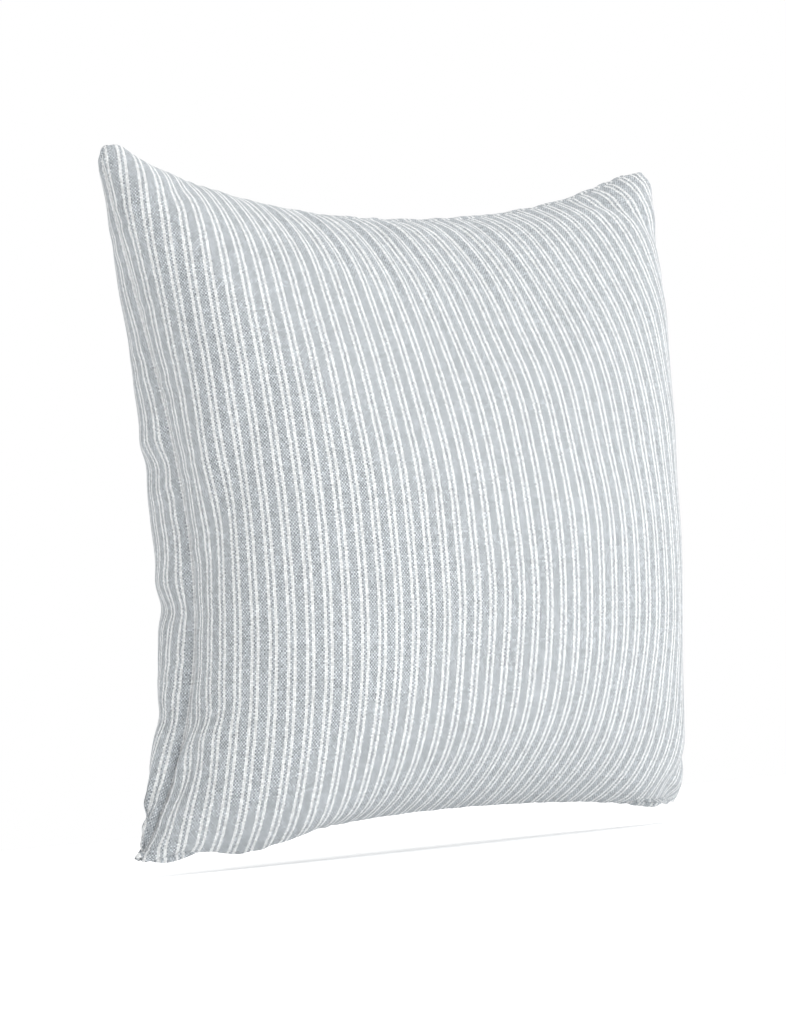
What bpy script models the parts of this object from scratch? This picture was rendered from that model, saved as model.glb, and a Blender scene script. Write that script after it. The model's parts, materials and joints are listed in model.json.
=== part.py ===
"""A 20 inch throw pillow: a striped woven cover with a zip in its bottom seam, round a stuffed insert.

Metres, +Z up. X is the width, Y the thickness with the front facing -Y, and Z the height.
The pillow stands on its two lower corners, and the origin is on that level below its middle.
"""

import math

import bmesh
import bpy
from mathutils import Matrix, Vector

# Driving dimensions of the stuffed pillow, in metres
HALF = 0.245  # from the middle to a corner, across and up
SEAM_Y = 0.0  # the corners' plane
RISE = 0.127  # how far a panel would swell from the corners' plane
LEVEL = 0.108  # and where its crown is level, as it lies on a seat or bed
SIDE_PULL = 0.068  # how far the side seams pull in between the corners
SIDE_FORWARD = 0.012  # and come forward
SIDE_SKEW = 0.44  # the side seams pull in furthest below the middle
TOP_PULL = 0.048
SIDE_POWER = 0.9
TOP_POWER = 0.9
EDGE_POWER = 2.4  # how flat the crown is across the middle
EDGE_ROUND = 0.5  # how steeply it leaves the seam
SEAM_OUT = 0.010  # how far the panels roll out past the seams
BOW_NORM = 0.35  # keeps a skewed bow's furthest place near 1
EAR_SLOPE = 0.55  # how steeply the bottom seam comes down to the corner

# Cloth
COVER_THICK = 0.0008
INSERT_THICK = 0.0005
GAP = 0.0003  # between neighbours
SEAM_GAP = 0.00015  # half the gap between two panels at their seam
INSERT_INSET = 0.013  # the insert's seam lies this far inside the cover's
INSERT_SLACK = 0.0012  # and its crown this far under the cover
FILL_INSET = 0.004
FILL_GAP = 0.0002  # half the fill's thickness at its rim
LABEL_INSET = 0.0045
LABEL_THICK = 0.0006
LABEL_GAP = 0.001
LABEL_LOW = -0.62  # the label's lower edge, from -1 at the bottom to 1 at the top
LABEL_STEP = 0.02
THREAD_RADIUS = 0.0003
THREAD_INSET = 0.002
THREAD_END = 0.985  # a seam's stitches turn the corner from here

# The zip runs along the arc of the bottom seam
ZIP_RADIUS = 1.62
ZIP_HEIGHT = 0.0250  # the bottom seam's middle, above the corners
ZIP_HALF = 0.180  # half the zip's length along the arc
ZIP_CLEAR = 0.008  # the slit runs this far past the tapes
ZIP_FADE = 0.006  # and closes over this length
SLIT_HALF = 0.0014  # half the slit between the panels, where the zip is
TAPE_THICK = 0.0005
TAPE_WIDTH = 0.0125
TAPE_LEVEL = 0.0078  # the tapes' outer face, above the slit
COIL_LEVEL = 0.0059
COIL_HEIGHT = 0.0017
COIL_INNER = 0.0006
COIL_OUTER = 0.0028
STITCH_FROM_EDGE = 0.0035
STITCH_HALF = 0.178
COIL_END = 0.006  # from the tape's end
STOP_GAP = 0.0057  # from the tape's end to the stops' inner end
TOP_STOP_LENGTH = 0.0025
BOTTOM_STOP_LENGTH = 0.0045
TRAVEL_HALF = 0.166  # the slider's place along the arc when the zip is shut

# Slider and pull, about the slider's middle: x along the zip, z up from the slit
SLIDER_LENGTH = 0.0100
SLIDER_WIDTH = 0.0078
SLIDER_CORNER = 0.0022
BLADE_THICK = 0.0009
OUTER_BLADE = 0.0046
INNER_BLADE = 0.0087
NECK_LENGTH = 0.0036
NECK_WIDTH = 0.0006
NECK_CORNER = 0.0002
NECK_FROM_END = 0.0006

# The bail's two lugs and its pin, and the pull that turns on the pin, all within the slit
PIN_LEVEL = 0.0020
PIN_RADIUS = 0.0004
PIN_CLEARANCE = 0.00015
LUG_ROUND = 0.0013
LUG_INNER = 0.00065
LUG_OUTER = 0.0011
BAIL_CROWN = 0.0006  # the web over the lugs, under the outer blade
PULL_LENGTH = 0.0150  # from the pin to the tip
PULL_THICK = 0.0009
PULL_EYE = 0.00125
PULL_TIP = 0.0015

# Mesh density
COVER_SEGMENTS = 20
INSERT_SEGMENTS = 14
ARC_STEPS = 24
ROUND_STEPS = 20

ARC_CENTRE = Vector((0, SEAM_Y, ZIP_HEIGHT - ZIP_RADIUS))
CORNERS = {(i, k): Vector((i * HALF, SEAM_Y, HALF + k * HALF)) for i in (-1, 1) for k in (-1, 1)}

COLOURS = {
    "striped_cloth": ((0.62, 0.66, 0.69), 0.9, 0.0),
    "cover_thread": ((0.72, 0.75, 0.77), 0.7, 0.0),
    "label_cloth": ((0.86, 0.86, 0.84), 0.6, 0.0),
    "zip_tape": ((0.70, 0.73, 0.75), 0.85, 0.0),
    "zip_coil": ((0.76, 0.78, 0.80), 0.35, 0.0),
    "zip_metal": ((0.55, 0.55, 0.56), 0.3, 1.0),
    "insert_cloth": ((0.88, 0.88, 0.87), 0.9, 0.0),
    "insert_thread": ((0.88, 0.88, 0.87), 0.7, 0.0),
    "fibre": ((0.93, 0.93, 0.92), 1.0, 0.0),
}


def material(name):
    made = bpy.data.materials.get(name)
    if made:
        return made
    colour, roughness, metallic = COLOURS[name]
    made = bpy.data.materials.new(name)
    made.use_nodes = True
    shader = made.node_tree.nodes["Principled BSDF"]
    shader.inputs["Base Color"].default_value = (*colour, 1)
    shader.inputs["Roughness"].default_value = roughness
    shader.inputs["Metallic"].default_value = metallic
    return made


def named(obj, name, slot):
    """Names an object, gives it its material and puts it in the pillow's collection."""
    obj.name = name
    obj.data.name = name
    obj.data.materials.clear()
    obj.data.materials.append(material(slot))
    for group in list(obj.users_collection):
        group.objects.unlink(obj)
    bpy.data.collections["throw_pillow"].objects.link(obj)
    return obj


def object_from(mesh_or_curve, name, slot):
    obj = bpy.data.objects.new(name, mesh_or_curve)
    bpy.context.scene.collection.objects.link(obj)
    return named(obj, name, slot)


# The seam and the two panels


def bow(a, power, skew=0.0):
    """0 at both ends of a side and about 1 at its furthest, which is below the middle if skewed."""
    return max(0.0, 1 - a * a) ** power * (1 - skew * a) / (1 + BOW_NORM * skew * skew)


def bottom_level(x):
    """The bottom seam's height: the zip's arc, then an ear that curves down to the corner."""
    end = ZIP_HALF + ZIP_CLEAR
    if abs(x) <= end:
        return ARC_CENTRE.z + math.sqrt(ZIP_RADIUS**2 - x * x)
    start = ARC_CENTRE.z + math.sqrt(ZIP_RADIUS**2 - end * end)
    slope = -end / math.sqrt(ZIP_RADIUS**2 - end * end)
    length = HALF - end
    u = min(1.0, (abs(x) - end) / length)
    arc_part = start * (1 + 2 * u) * (1 - u) ** 2 + slope * length * u * (1 - u) ** 2
    return arc_part + EAR_SLOPE * length * u * u * (1 - u)


def side_seam(side, v):
    pull = bow(v, SIDE_POWER, SIDE_SKEW)
    return Vector((side * (HALF - SIDE_PULL * pull), SEAM_Y - SIDE_FORWARD * pull, HALF + HALF * v))


def top_seam(u):
    return Vector((HALF * u, SEAM_Y, 2 * HALF - TOP_PULL * bow(u, TOP_POWER)))


def bottom_seam(u):
    return Vector((HALF * u, SEAM_Y, bottom_level(HALF * u)))


def middle(u, v):
    """The surface midway between the panels: a Coons patch inside the four seams, u and v from -1 to 1."""
    a, b = (u + 1) / 2, (v + 1) / 2
    across = side_seam(-1, v) * (1 - a) + side_seam(1, v) * a
    up = bottom_seam(u) * (1 - b) + top_seam(u) * b
    low = CORNERS[-1, -1] * (1 - a) + CORNERS[1, -1] * a
    high = CORNERS[-1, 1] * (1 - a) + CORNERS[1, 1] * a
    return across + up - (low * (1 - b) + high * b)


def swell(a):
    return max(0.0, 1 - abs(a) ** EDGE_POWER) ** EDGE_ROUND


def roll(a):
    """How far a panel rolls out past its seam, as a share of SEAM_OUT."""
    return 5 * a**5 * (1 - a * a)


def panel_point(u, v, side, inset, less, gap):
    """A point on the front (side -1) or back (side 1) panel of a cover or insert.

    Its seam lies inset inside the cover's, its crown is lower by less, and at its seam it keeps the gap
    from the surface midway.
    """
    shrink = 1 - inset / HALF
    place = middle(u * shrink, v * shrink)
    out = min((RISE - less) * swell(u) * swell(v), LEVEL - less)
    place.x += SEAM_OUT * roll(u) * swell(v)
    place.z += SEAM_OUT * roll(v) * swell(u)
    # the forward bow of the seams fades out before the level crown
    bow_left = 1 - out / (LEVEL - less)
    place.y = SEAM_Y + (place.y - SEAM_Y) * bow_left + side * max(gap, out)
    return place


def slit_gap(u):
    """Half the gap between the panels along the bottom seam, wider where the zip is."""
    x = abs(HALF * u)
    fade = min(1.0, max(0.0, (ZIP_HALF + ZIP_CLEAR - x) / ZIP_FADE))
    return SEAM_GAP + (SLIT_HALF - SEAM_GAP) * fade


def spread(n):
    """Places from -1 to 1, closer together near both ends."""
    return [math.sin(math.pi / 2 * (2 * i / n - 1)) for i in range(n + 1)]


def add_grid(bm, n, place, us=None, vs=None):
    """A grid of n by n quads, or of the places given, moved to place(u, v). Returns its boundary edges."""
    us = us or spread(n)
    vs = vs or spread(n)
    made = bmesh.ops.create_grid(bm, x_segments=len(us) - 1, y_segments=len(vs) - 1, size=1)["verts"]
    for i, vert in enumerate(made):
        vert.co = place(us[i % len(us)], vs[i // len(us)])
    return [e for v in made for e in v.link_edges if e.is_boundary]


def closed_pair(name, slot, n, outer, inner, us=None, vs=None):
    """A solid between two grids whose rims are bridged."""
    bm = bmesh.new()
    rim = set(add_grid(bm, n, outer, us, vs))
    rim |= set(add_grid(bm, n, inner, us, vs))
    bmesh.ops.bridge_loops(bm, edges=list(rim))
    bmesh.ops.recalc_face_normals(bm, faces=bm.faces)
    if bm.calc_volume(signed=True) < 0:
        bmesh.ops.reverse_faces(bm, faces=bm.faces)
    mesh = bpy.data.meshes.new(name)
    bm.to_mesh(mesh)
    bm.free()
    mesh.shade_smooth()
    mesh.set_sharp_from_angle(angle=math.radians(40))
    return object_from(mesh, name, slot)


def cover_panel(name, side):
    def rim_gap(u, v):
        return slit_gap(u) if v < -0.999 else SEAM_GAP

    return closed_pair(
        name,
        "striped_cloth",
        COVER_SEGMENTS,
        lambda u, v: panel_point(u, v, side, 0, 0, rim_gap(u, v)),
        lambda u, v: panel_point(u, v, side, COVER_THICK, COVER_THICK, rim_gap(u, v)),
    )


def insert_shell(name, side):
    less = COVER_THICK + INSERT_SLACK
    return closed_pair(
        name,
        "insert_cloth",
        INSERT_SEGMENTS,
        lambda u, v: panel_point(u, v, side, INSERT_INSET, less, SEAM_GAP),
        lambda u, v: panel_point(
            u, v, side, INSERT_INSET + INSERT_THICK, less + INSERT_THICK, SEAM_GAP
        ),
    )


def insert_fill():
    less = COVER_THICK + INSERT_SLACK + INSERT_THICK + GAP
    inset = INSERT_INSET + FILL_INSET
    return closed_pair(
        "insert_fill",
        "fibre",
        INSERT_SEGMENTS,
        lambda u, v: panel_point(u, v, -1, inset, less, FILL_GAP),
        lambda u, v: panel_point(u, v, 1, inset, less, FILL_GAP),
    )


def care_label():
    """A folded label caught in the left seam, lying in the space beside the insert."""
    us = [-math.cos(math.radians(a)) for a in (5, 9, 13, 17, 21)]
    vs = [LABEL_LOW + LABEL_STEP * i for i in range(5)]
    outer_inset, inner_inset = LABEL_INSET, LABEL_INSET + LABEL_THICK
    outer_less, inner_less = COVER_THICK + GAP, COVER_THICK + GAP + LABEL_THICK
    return closed_pair(
        "care_label",
        "label_cloth",
        4,
        lambda u, v: panel_point(u, v, 1, outer_inset, outer_less, LABEL_GAP),
        lambda u, v: panel_point(u, v, 1, inner_inset, inner_less, LABEL_GAP),
        us,
        vs,
    )


# Threads


def wire(name, slot, points, radius, closed=False):
    """A tube along the points, with filled ends unless it is closed."""
    curve = bpy.data.curves.new(name, "CURVE")
    curve.dimensions = "3D"
    curve.bevel_depth = radius
    curve.bevel_resolution = 1
    curve.use_fill_caps = not closed
    spline = curve.splines.new("POLY")
    spline.points.add(len(points) - 1)
    for point, place in zip(spline.points, points):
        point.co = (*place, 1)
    spline.use_cyclic_u = closed
    return object_from(curve, name, slot)


def seam_run(inset, places):
    return [middle(u * (1 - inset / HALF), v * (1 - inset / HALF)) for u, v in places]


def cover_seam_thread():
    """From one end of the zip, round both sides and the top, to its other end."""
    start = (ZIP_HALF + 1.5 * ZIP_CLEAR) / HALF
    along = spread(COVER_SEGMENTS - 2)[1:-1]
    places = [(start, -1), ((start + 1) / 2, -1)]
    places += [(1, v) for v in [-THREAD_END, *along, THREAD_END]]
    places += [(-u, 1) for u in [-THREAD_END, *along, THREAD_END]]
    places += [(-1, -v) for v in [-THREAD_END, *along, THREAD_END]]
    places += [(-(start + 1) / 2, -1), (-start, -1)]
    return wire("cover_seam_thread", "cover_thread", seam_run(THREAD_INSET, places), THREAD_RADIUS)


def insert_seam_thread():
    along = spread(INSERT_SEGMENTS)[1:-1]
    run = [-THREAD_END, *along, THREAD_END]
    places = [(u, -1) for u in run] + [(1, v) for v in run]
    places += [(-u, 1) for u in run] + [(-1, -v) for v in run]
    points = seam_run(INSERT_INSET + THREAD_INSET, places)
    return wire("insert_seam_thread", "insert_thread", points, THREAD_RADIUS, closed=True)


# The zip


def on_arc(along, level):
    """A point over the zip's arc, at a length along it from its middle and a height from the slit."""
    angle = along / ZIP_RADIUS
    reach = ZIP_RADIUS + level
    return ARC_CENTRE + Vector((reach * math.sin(angle), 0, reach * math.cos(angle)))


def outline_solid(name, slot, loops, depth, y):
    """A flat outline in the XZ plane, with any holes, thickened along Y about y."""
    curve = bpy.data.curves.new(name, "CURVE")
    curve.dimensions = "2D"
    curve.fill_mode = "BOTH"
    curve.extrude = depth / 2
    for loop in loops:
        spline = curve.splines.new("POLY")
        spline.points.add(len(loop) - 1)
        for point, (x, z) in zip(spline.points, loop):
            point.co = (x, z, 0, 1)
        spline.use_cyclic_u = True
    obj = object_from(curve, name, slot)
    obj.rotation_euler = (math.pi / 2, 0, 0)
    obj.location = (0, y, 0)
    return obj


def arc_strip(name, slot, low, high, near, far, start, end, steps=ARC_STEPS):
    """A strip along the zip, between two heights over the slit and two distances to its side."""
    stops = [start + (end - start) * i / steps for i in range(steps + 1)]
    loop = [on_arc(a, high) for a in stops] + [on_arc(a, low) for a in reversed(stops)]
    y = SEAM_Y + (near + far) / 2
    return outline_solid(name, slot, [[(p.x, p.z) for p in loop]], abs(far - near), y)


def zip_side(name, side):
    """One tape with its coil and its row of stitches."""
    inner, outer = side * COIL_INNER, side * (COIL_INNER + TAPE_WIDTH)
    top = TAPE_LEVEL + TAPE_THICK
    arc_strip("zip_tape_" + name, "zip_tape", TAPE_LEVEL, top, inner, outer, -ZIP_HALF, ZIP_HALF)
    arc_strip(
        "zip_coil_" + name,
        "zip_coil",
        COIL_LEVEL,
        COIL_LEVEL + COIL_HEIGHT,
        inner,
        side * COIL_OUTER,
        -ZIP_HALF + COIL_END,
        ZIP_HALF - COIL_END,
    )
    y = outer - side * STITCH_FROM_EDGE
    stops = [STITCH_HALF * (2 * i / ARC_STEPS - 1) for i in range(ARC_STEPS + 1)]
    run = [on_arc(a, top + GAP + THREAD_RADIUS) + Vector((0, y, 0)) for a in stops]
    wire("zip_stitching_" + name, "cover_thread", run, THREAD_RADIUS)
    arc_strip(
        "zip_top_stop_" + name,
        "zip_metal",
        COIL_LEVEL,
        COIL_LEVEL + COIL_HEIGHT,
        inner,
        side * COIL_OUTER,
        ZIP_HALF - STOP_GAP,
        ZIP_HALF - STOP_GAP + TOP_STOP_LENGTH,
        2,
    )


def rounded_plate(length, width, corner, steps=4):
    """The outline of a plate with rounded corners, about its middle."""
    points = []
    for quarter in range(4):
        cx = (length / 2 - corner) * (1 if quarter in (0, 3) else -1)
        cy = (width / 2 - corner) * (1 if quarter in (0, 1) else -1)
        for i in range(steps + 1):
            angle = math.pi / 2 * (quarter + i / steps)
            points.append((cx + corner * math.cos(angle), cy + corner * math.sin(angle)))
    return points


def plate_mesh(loops, low, high):
    """A flat outline in the XY plane with any holes, from one height to another, as a mesh."""
    curve = bpy.data.curves.new("plate", "CURVE")
    curve.dimensions = "2D"
    curve.fill_mode = "BOTH"
    curve.extrude = (high - low) / 2
    for loop in loops:
        spline = curve.splines.new("POLY")
        spline.points.add(len(loop) - 1)
        for point, (x, y) in zip(spline.points, loop):
            point.co = (x, y, 0, 1)
        spline.use_cyclic_u = True
    guide = bpy.data.objects.new("plate", curve)
    bpy.context.scene.collection.objects.link(guide)
    bpy.context.view_layer.update()
    mesh = bpy.data.meshes.new_from_object(guide.evaluated_get(bpy.context.evaluated_depsgraph_get()))
    bpy.data.objects.remove(guide)
    bpy.data.curves.remove(curve)
    bm = bmesh.new()
    bm.from_mesh(mesh)
    bmesh.ops.remove_doubles(bm, verts=bm.verts, dist=1e-6)
    bmesh.ops.recalc_face_normals(bm, faces=bm.faces)
    bmesh.ops.translate(bm, verts=bm.verts, vec=(0, 0, (low + high) / 2))
    bm.to_mesh(mesh)
    bm.free()
    return mesh


def seat_on_zip(obj, along):
    """Places an object, made about the slider's middle, at a length along the zip."""
    obj.matrix_world = Matrix.Translation(on_arc(along, 0)) @ Matrix.Rotation(along / ZIP_RADIUS, 4, "Y")
    return obj


def circle(radius, cx=0.0, cy=0.0, start=0.0, end=math.tau, steps=ROUND_STEPS):
    closed = end - start > math.tau - 0.01
    count = steps if closed else steps + 1
    angles = [start + (end - start) * i / steps for i in range(count)]
    return [(cx + radius * math.cos(a), cy + radius * math.sin(a)) for a in angles]


def combine(obj, piece, operation):
    """Joins a mesh, made about the slider's middle, to the slider's part, or cuts it away."""
    tool = bpy.data.objects.new("slider_piece", piece)
    bpy.data.collections["cutters"].objects.link(tool)
    tool.hide_render = True
    tool.display_type = "WIRE"
    seat_on_zip(tool, TRAVEL_HALF)
    change = obj.modifiers.new(operation.lower(), "BOOLEAN")
    change.operation = operation
    change.object = tool


def on_edge(mesh):
    """Turns a plate made in the XY plane up into the XZ plane, at the pin's level."""
    mesh.transform(Matrix.Translation((0, 0, PIN_LEVEL)) @ Matrix.Rotation(math.pi / 2, 4, "X"))
    return mesh


def zip_slider_body():
    """Two blades that hold the coils, joined by a thin wedge between them."""
    outline = rounded_plate(SLIDER_LENGTH, SLIDER_WIDTH, SLIDER_CORNER)
    outer = plate_mesh([outline], OUTER_BLADE, OUTER_BLADE + BLADE_THICK)
    inner = plate_mesh([outline], INNER_BLADE, INNER_BLADE + BLADE_THICK)
    neck_outline = rounded_plate(NECK_LENGTH, NECK_WIDTH, NECK_CORNER, 1)
    neck = plate_mesh([neck_outline], OUTER_BLADE + BLADE_THICK / 2, INNER_BLADE + BLADE_THICK / 2)
    neck.transform(Matrix.Translation(((SLIDER_LENGTH - NECK_LENGTH) / 2 - NECK_FROM_END, 0, 0)))
    body = object_from(outer, "zip_slider_body", "zip_metal")
    combine(body, inner, "UNION")
    combine(body, neck, "UNION")
    return seat_on_zip(body, TRAVEL_HALF)


def zip_slider_bail():
    """An arch under the outer blade, slotted into two lugs, with a pin across them."""
    rise = OUTER_BLADE - GAP - PIN_LEVEL
    arch = circle(LUG_ROUND, 0, 0, math.pi, math.tau) + [(LUG_ROUND, rise), (-LUG_ROUND, rise)]
    past = 2 * LUG_ROUND
    slot = [(-past, -past), (past, -past), (past, rise - BAIL_CROWN), (-past, rise - BAIL_CROWN)]
    bail = object_from(on_edge(plate_mesh([arch], -LUG_OUTER, LUG_OUTER)), "zip_slider_bail", "zip_metal")
    combine(bail, on_edge(plate_mesh([slot], -LUG_INNER, LUG_INNER)), "DIFFERENCE")
    pin_half = (LUG_INNER + LUG_OUTER) / 2
    combine(bail, on_edge(plate_mesh([circle(PIN_RADIUS)], -pin_half, pin_half)), "UNION")
    return seat_on_zip(bail, TRAVEL_HALF)


def zip_pull_tab():
    """A slim tab, round the pin at one end; it lies in the slit, towards the zip's middle."""
    eye = circle(PULL_EYE, 0, 0, -math.pi / 2, math.pi / 2)
    tip = circle(PULL_TIP, PULL_TIP - PULL_LENGTH, 0, math.pi / 2, math.pi * 1.5)
    hole = circle(PIN_RADIUS + PIN_CLEARANCE)
    mesh = on_edge(plate_mesh([eye + tip, hole], -PULL_THICK / 2, PULL_THICK / 2))
    return seat_on_zip(object_from(mesh, "zip_pull_tab", "zip_metal"), TRAVEL_HALF)


def zip_bottom_stop():
    """The block across both coils at the end where the zip starts."""
    return arc_strip(
        "zip_bottom_stop",
        "zip_metal",
        COIL_LEVEL,
        COIL_LEVEL + COIL_HEIGHT,
        -COIL_OUTER,
        COIL_OUTER,
        -ZIP_HALF + STOP_GAP - BOTTOM_STOP_LENGTH,
        -ZIP_HALF + STOP_GAP,
        2,
    )


def start_scene():
    for obj in list(bpy.data.objects):
        bpy.data.objects.remove(obj)
    for name in ("throw_pillow", "cutters"):
        group = bpy.data.collections.get(name) or bpy.data.collections.new(name)
        if group.name not in bpy.context.scene.collection.children:
            bpy.context.scene.collection.children.link(group)


def main():
    start_scene()
    cover_panel("cover_front_panel", -1)
    cover_panel("cover_back_panel", 1)
    cover_seam_thread()
    care_label()
    for name, side in (("front", -1), ("back", 1)):
        zip_side(name, side)
    zip_bottom_stop()
    zip_slider_body()
    zip_slider_bail()
    zip_pull_tab()
    insert_shell("insert_shell_front", -1)
    insert_shell("insert_shell_back", 1)
    insert_seam_thread()
    insert_fill()


main()
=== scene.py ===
import json
import math

import bmesh
import bpy
import numpy as np
from mathutils import Matrix, Vector


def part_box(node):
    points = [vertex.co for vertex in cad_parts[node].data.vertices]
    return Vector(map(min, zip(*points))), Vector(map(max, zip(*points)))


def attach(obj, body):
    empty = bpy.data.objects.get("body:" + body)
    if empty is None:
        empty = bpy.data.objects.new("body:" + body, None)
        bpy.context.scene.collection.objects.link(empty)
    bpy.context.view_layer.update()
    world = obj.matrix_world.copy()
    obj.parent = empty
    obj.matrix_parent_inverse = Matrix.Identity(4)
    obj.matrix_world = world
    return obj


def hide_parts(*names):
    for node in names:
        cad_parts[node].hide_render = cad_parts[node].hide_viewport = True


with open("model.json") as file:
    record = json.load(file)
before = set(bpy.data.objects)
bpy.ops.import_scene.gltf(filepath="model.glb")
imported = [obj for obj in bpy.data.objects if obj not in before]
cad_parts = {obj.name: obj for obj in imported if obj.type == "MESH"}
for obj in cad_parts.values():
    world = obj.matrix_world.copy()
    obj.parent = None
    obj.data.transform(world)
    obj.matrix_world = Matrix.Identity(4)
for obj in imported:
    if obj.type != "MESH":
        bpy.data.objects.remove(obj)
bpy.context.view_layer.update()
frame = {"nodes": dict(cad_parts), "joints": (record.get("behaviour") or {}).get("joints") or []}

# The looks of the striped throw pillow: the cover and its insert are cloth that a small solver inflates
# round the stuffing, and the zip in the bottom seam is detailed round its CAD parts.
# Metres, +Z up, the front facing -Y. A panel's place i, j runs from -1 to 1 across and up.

# Seams: each side pulls in between the corners, which lie a little off the CAD's
LOW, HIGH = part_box("cover_front_panel")
HALF = (HIGH.x - LOW.x) / 2
CORNER_SHIFT = {
    (-1, 1): (0.0176, 0.0245, -0.0007),
    (1, 1): (-0.0110, -0.0170, 0.0061),
    (-1, -1): (-0.0027, 0.0335, -0.0073),
    (1, -1): (-0.0009, 0.0346, -0.0073),
}
CORNERS = {
    place: np.array([place[0] * HALF, 0, HALF + place[1] * HALF]) + shift
    for place, shift in CORNER_SHIFT.items()
}
LEFT_PULL, LEFT_FORWARD, LEFT_POWER, LEFT_SKEW = 0.0526, 0.0163, 0.949, 0.635
RIGHT_PULL, RIGHT_FORWARD, RIGHT_POWER, RIGHT_SKEW = 0.0848, 0.0311, 0.875, 0.918
TOP_PULL, TOP_FORWARD, TOP_POWER, TOP_SKEW = 0.0488, -0.0225, 0.784, -0.073
EAR_SLOPE = 2.39  # how steeply the bottom seam comes down to a corner

# The zip runs on an arc, on which its slider travels
TRAVEL = next(joint for joint in frame["joints"] if joint["name"] == "zip_travel")
ARC_CENTRE = Vector(TRAVEL["pos_m"])
ZIP_RADIUS = 1.62
ZIP_HALF = 0.180
SLIT_END = 0.188
SLIT_FADE = 0.006
SLIT_HALF = 0.0014
SEAM_GAP = 0.00015
COIL_LEVEL, COIL_HEIGHT = 0.0059, 0.0017
COIL_PITCH, COIL_WIRE = 0.0014, 0.00032
TAPE_LEVEL, TAPE_THICKNESS = 0.0078, 0.0005

# Cloth
PANEL = 0.254  # half the sewn square
CORNER = 0.025  # its corners are rounded to this radius
ALLOWANCE = 0.010
STRETCH = 0.9912  # the panels' rest size, which the stuffing then stretches
STUFFING_FRONT, STUFFING_BACK = 0.1213, 0.1160  # how far the stuffing pushes each panel
STUFFING_SAG = 0.672  # and how much more of it lies below
CLOTH_CELLS = (28, 56, 84)
CLOTH_STEPS = (700, 260, 120)
PUSH = 4e-5  # how far a step moves the cloth outward, at the first of those cells
DAMPING = 0.92
# The directions in which neighbours hold each other, and how much they resist coming nearer and parting
CLOTH_THREADS = ((1, 0, 0.03, 1), (0, 1, 0.03, 1), (1, 1, 0.02, 0.15), (1, -1, 0.02, 0.15))
FINE_CELLS = 236
PICK = 0.0012  # the weft threads' pitch
THREAD = 0.000989  # the weave's pitch, a twelfth of the stripes' repeat
REPEAT = 12.0  # threads: a wide grey stripe, then two white ones with a narrow grey one between
WIDE_STRIPE = 6.0
PAIR_MIDDLE = 8.5
GREY_WARP = ((0.04, 0.06, 0.085), (0.30, 0.34, 0.38))  # the darkest and palest of its heather
WHITE_WARP = (0.84, 0.855, 0.86)
WEFT = ((0.79, 0.82, 0.84), (0.83, 0.845, 0.85))  # in the grey stripes and in the white ones
STRIPE_AT = {"front": 0.0110, "back": 0.0044}  # from the left seam to the middle of a wide grey stripe

STITCH = 0.003  # a lockstitch's length, then its thread's radius and how far it swings either way
STITCH_RADIUS = 0.00022
STITCH_SWING = 0.00035

# How far the stuffing rounds out the cloth at each corner, and over what distance that fades out
CORNER_PUFF = {
    "front": {(-1, 1): 0.001, (1, 1): 0.001, (-1, -1): 0.002, (1, -1): 0.003},
    "back": {(-1, 1): 0.001, (1, 1): 0.001, (-1, -1): 0.004, (1, -1): 0.003},
}
PUFF_REACH = 0.045
PUFF_EDGE = 0.025

# Along the seams: puckers from the stitches, wider gathers, and the groove that the thread draws in
PUCKER_PITCH, PUCKER_HEIGHT = 0.0095, 0.00034
GATHER_PITCH, GATHER_HEIGHT = 0.031, 0.0006
GROOVE_DEPTH, GROOVE_WIDTH = 0.0012, 0.0011
UNDULATION = 0.0009  # how uneven the stuffing leaves the rest of the cloth

# The insert under the cover
INSERT_MARGIN = 0.015  # how much smaller it is cut at each side
INSERT_DEPTH = 0.027  # how far in from the cover's seam its own lies
INSERT_GAP = 0.0045  # below the cover's cloth, and as much again at the seams
FILL_GAP, FILL_LUMPS = 0.0045, 0.0012

# The label, from where it leaves the seam
LABEL_START, LABEL_REACH = 0.004, 0.018


def smooth(value, low, high):
    share = np.clip((value - low) / (high - low), 0, 1)
    return share * share * (3 - 2 * share)


# Seams and the surface midway between the panels


def bow(a, power, skew=0.0):
    """0 at a seam's ends and 1 at its furthest, which is below the middle if skewed."""
    places = np.linspace(-1, 1, 201)
    most = ((1 - places**2) ** power * (1 - skew * places)).max()
    return np.clip(1 - a * a, 0, None) ** power * (1 - skew * a) / most


def points(x, y, z):
    return np.stack(np.broadcast_arrays(x, y, z), -1).astype(float)


def bottom_seam(i):
    """The zip's arc, then at each end an ear that curves down to the corner."""
    left, right = CORNERS[-1, -1], CORNERS[1, -1]
    x = left[0] + (right[0] - left[0]) * (i + 1) / 2
    y = np.zeros_like(x)
    z = ARC_CENTRE.z + np.sqrt(ZIP_RADIUS**2 - np.minimum(np.abs(x), SLIT_END) ** 2)
    start = ARC_CENTRE.z + math.sqrt(ZIP_RADIUS**2 - SLIT_END**2)
    slope = -SLIT_END / math.sqrt(ZIP_RADIUS**2 - SLIT_END**2)
    for sign, corner in ((-1, left), (1, right)):
        length = abs(corner[0]) - SLIT_END
        u = np.clip((sign * x - SLIT_END) / length, 0, 1)
        ease = u * u * (3 - 2 * u)
        ear = start * (1 - ease) + slope * length * u * (1 - u) ** 2
        ear += corner[2] * ease + EAR_SLOPE * length * u * u * (1 - u)
        z = np.where(sign * x > SLIT_END, ear, z)
        y = np.where(sign * x > SLIT_END, corner[1] * ease, y)
    return points(x, y, z)


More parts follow.
